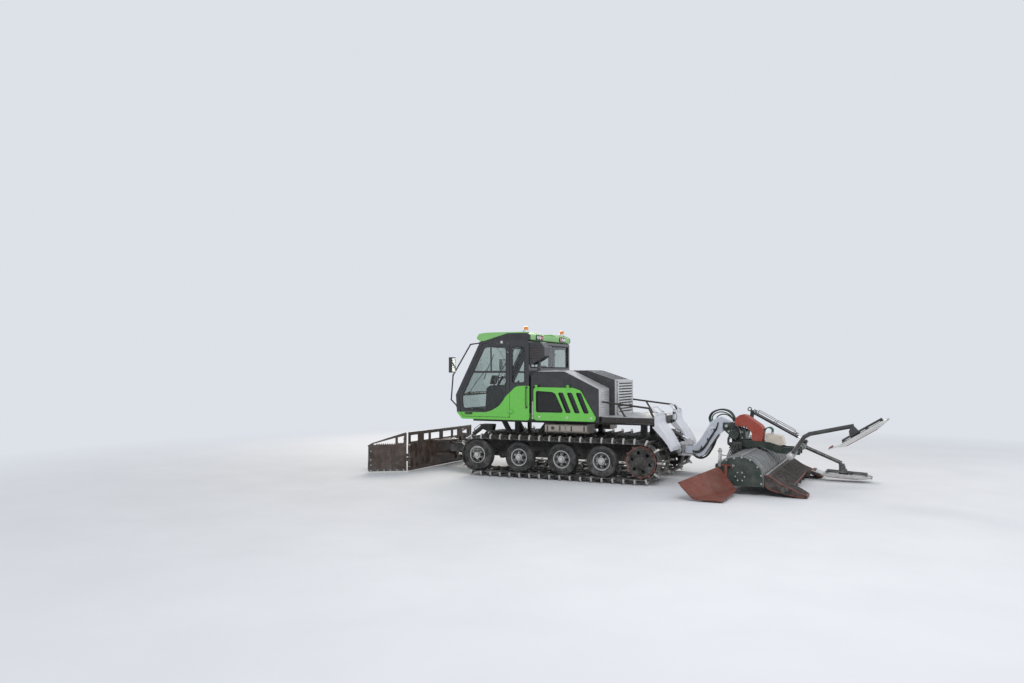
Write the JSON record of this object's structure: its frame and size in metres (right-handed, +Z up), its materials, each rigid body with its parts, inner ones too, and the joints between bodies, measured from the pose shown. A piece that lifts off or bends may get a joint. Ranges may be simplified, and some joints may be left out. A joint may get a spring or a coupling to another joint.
{
  "type": "snowcat groomer with front blade, rear tiller and track setters",
  "caption": "Tracked snow groomer with a cab, a folding-wing front blade, a swan-neck lift, a rear tiller with finishers and two track setters.",
  "frame": {"origin": "middle of the bounding box, on the ground under the tracks", "axes": "+X forward, +Y to the left, +Z up"},
  "size_m": [9.2202, 5.0612, 2.831],
  "materials": {
    "black_paint": "semi-gloss black paint",
    "chassis_paint": "satin dark grey paint",
    "green_paint": "gloss bright green paint",
    "silver_paint": "satin silver paint",
    "white_paint": "gloss white paint",
    "frame_green": "satin dark green paint",
    "red_paint": "moulded red cover",
    "brown_plastic": "red-brown wear plastic",
    "mat_rubber": "flexible finisher mat",
    "beige_plastic": "pale moulded cover",
    "aluminium": "brushed aluminium",
    "tank_metal": "mill finish sheet",
    "chrome": "polished rod",
    "tyre": "moulded rubber",
    "track": "rubber belts with aluminium cross bars",
    "sprocket": "oxide red and worn",
    "glass": "tinted",
    "interior": "moulded trim and seat",
    "amber": "amber lens",
    "hose": "hydraulic hose",
    "engine": "cast block"
  },
  "bodies": {
    "chassis": {"chassis_frame": "chassis_paint", "tyres": "tyre", "rims": "aluminium", "sprockets": "sprocket", "track_left": "track", "track_right": "track", "side_tanks": "tank_metal", "engine_block": "engine", "engine_body": "black_paint", "engine_cover": "silver_paint", "centre_hood": "black_paint", "cooler": "aluminium", "rear_deck": "black_paint", "rear_guards": "white_paint", "lift_bracket": "white_paint", "cab_frame": "black_paint", "cab_roof": "green_paint", "cab_glass": "glass", "cab_interior": "interior", "intake_pod": "black_paint", "roof_lights": "amber", "mirrors": "black_paint", "side_canister": "aluminium"},
    "door_left_body": {"door_left": "green_paint", "door_glass_left": "glass"},
    "door_right_body": {"door_right": "green_paint", "door_glass_right": "glass"},
    "side_panel_left_body": {"side_panel_left": "green_paint"},
    "side_panel_right_body": {"side_panel_right": "green_paint"},
    "push_body": {"push_frame": "chassis_paint"},
    "blade_barrel_body": {"blade_barrel": "black_paint"},
    "blade_rod_body": {"blade_rod": "chrome"},
    "blade_body": {"blade_middle": "brown_plastic"},
    "wing_left_body": {"blade_wing_left": "brown_plastic"},
    "wing_right_body": {"blade_wing_right": "brown_plastic"},
    "fork_body": {"lift_fork": "silver_paint"},
    "lift_barrel_body": {"lift_barrel": "black_paint"},
    "lift_rod_body": {"lift_rod": "chrome"},
    "neck_body": {"swan_neck": "silver_paint"},
    "tiller_body": {"tiller_frame": "frame_green", "tiller_casing": "frame_green", "rear_finisher": "mat_rubber", "guard_hood": "red_paint", "pump_box": "beige_plastic", "hoses": "hose"},
    "rotor_body": {"rotor": "chassis_paint"},
    "side_finisher_left_body": {"side_finisher_left": "brown_plastic"},
    "side_finisher_right_body": {"side_finisher_right": "brown_plastic"},
    "setter_left_body": {"setter_arm_left": "black_paint", "setter_plate_left": "aluminium"},
    "setter_right_body": {"setter_arm_right": "black_paint", "setter_plate_right": "aluminium"},
    "setter_barrel_body": {"setter_barrel": "black_paint"},
    "setter_rod_body": {"setter_rod": "chrome"}
  },
  "joints": [
    {"name": "door_left", "type": "hinge", "parent": "chassis", "child": "door_left_body", "pos_m": [1.88892, 1.052, 1.7], "axis": [0, 0, 1], "range_deg": [0, 95]},
    {"name": "door_right", "type": "hinge", "parent": "chassis", "child": "door_right_body", "pos_m": [1.88892, -1.052, 1.7], "axis": [0, 0, -1], "range_deg": [0, 95]},
    {"name": "side_panel_left", "type": "hinge", "parent": "chassis", "child": "side_panel_left_body", "pos_m": [0.98892, 1.016, 1.704], "axis": [1, 0, 0], "range_deg": [0, 75]},
    {"name": "side_panel_right", "type": "hinge", "parent": "chassis", "child": "side_panel_right_body", "pos_m": [0.98892, -1.016, 1.704], "axis": [-1, 0, 0], "range_deg": [0, 75]},
    {"name": "blade_lift", "type": "hinge", "parent": "chassis", "child": "push_body", "pos_m": [2.91892, 0, 0.45], "axis": [0, -1, 0], "range_deg": [-6, 24]},
    {"name": "blade_cylinder_swing", "type": "hinge", "parent": "chassis", "child": "blade_barrel_body", "pos_m": [2.97392, 0, 0.86], "axis": [0, -1, 0], "range_deg": [-30, 30]},
    {"name": "blade_cylinder_stroke", "type": "slide", "parent": "blade_barrel_body", "child": "blade_rod_body", "axis": [0.8104, 0, -0.5858], "range_m": [-0.25, 0.25]},
    {"name": "blade_angle", "type": "hinge", "parent": "push_body", "child": "blade_body", "pos_m": [3.68892, 0, 0.4], "axis": [0, 0, 1], "range_deg": [-22, 22]},
    {"name": "wing_left", "type": "hinge", "parent": "blade_body", "child": "wing_left_body", "pos_m": [3.96392, 1.29, 0.3], "axis": [0, 0, 1], "range_deg": [-15, 60]},
    {"name": "wing_right", "type": "hinge", "parent": "blade_body", "child": "wing_right_body", "pos_m": [3.96392, -1.29, 0.3], "axis": [0, 0, -1], "range_deg": [-15, 60]},
    {"name": "rear_lift", "type": "hinge", "parent": "chassis", "child": "fork_body", "pos_m": [-1.14108, 0, 0.56], "axis": [0, 1, 0], "range_deg": [-4, 24]},
    {"name": "lift_cylinder_swing", "type": "hinge", "parent": "chassis", "child": "lift_barrel_body", "pos_m": [-0.94108, 0, 0.868], "axis": [0, 1, 0], "range_deg": [-30, 30]},
    {"name": "lift_cylinder_stroke", "type": "slide", "parent": "lift_barrel_body", "child": "lift_rod_body", "axis": [-0.9193, 0, -0.3936], "range_m": [-0.2, 0.2]},
    {"name": "tiller_swing", "type": "hinge", "parent": "fork_body", "child": "neck_body", "pos_m": [-1.30108, 0, 0.56], "axis": [0, 0, 1], "range_deg": [-12, 12]},
    {"name": "tiller_tilt", "type": "hinge", "parent": "neck_body", "child": "tiller_body", "pos_m": [-1.97108, 0, 1], "axis": [0, 1, 0], "range_deg": [-5, 8], "deforming": ["hoses"]},
    {"name": "tiller_rotor", "type": "hinge", "parent": "tiller_body", "child": "rotor_body", "pos_m": [-2.45108, 0, 0.3], "axis": [0, 1, 0], "continuous": true},
    {"name": "side_finisher_left", "type": "hinge", "parent": "tiller_body", "child": "side_finisher_left_body", "pos_m": [-2.25108, 1.65, 0.47], "axis": [1, 0, 0], "range_deg": [0, 85]},
    {"name": "side_finisher_right", "type": "hinge", "parent": "tiller_body", "child": "side_finisher_right_body", "pos_m": [-2.25108, -1.65, 0.47], "axis": [-1, 0, 0], "range_deg": [0, 85]},
    {"name": "track_setter_left", "type": "hinge", "parent": "tiller_body", "child": "setter_left_body", "pos_m": [-3.15108, 0.95, 0.6], "axis": [0, 1, 0], "range_deg": [-42, 8]},
    {"name": "track_setter_right", "type": "hinge", "parent": "tiller_body", "child": "setter_right_body", "pos_m": [-3.15108, -0.95, 0.6], "axis": [0, 1, 0], "range_deg": [0, 45]},
    {"name": "setter_cylinder_swing", "type": "hinge", "parent": "tiller_body", "child": "setter_barrel_body", "pos_m": [-2.25108, -0.95, 1.21], "axis": [0, 1, 0], "range_deg": [-30, 30]},
    {"name": "setter_cylinder_stroke", "type": "slide", "parent": "setter_barrel_body", "child": "setter_rod_body", "axis": [-0.8772, 0, -0.4801], "range_m": [-0.2, 0.2]}
  ],
  "couplings": [
    {"joint": "blade_cylinder_swing", "follows": "blade_lift", "ratio": 0.65283},
    {"joint": "blade_cylinder_stroke", "follows": "blade_lift", "m_per_rad": -0.38126},
    {"joint": "lift_cylinder_swing", "follows": "rear_lift", "ratio": 0.14236},
    {"joint": "lift_cylinder_stroke", "follows": "rear_lift", "m_per_rad": -0.21342},
    {"joint": "setter_cylinder_swing", "follows": "track_setter_right", "ratio": -0.03115},
    {"joint": "setter_cylinder_stroke", "follows": "track_setter_right", "m_per_rad": -0.09596}
  ]
}
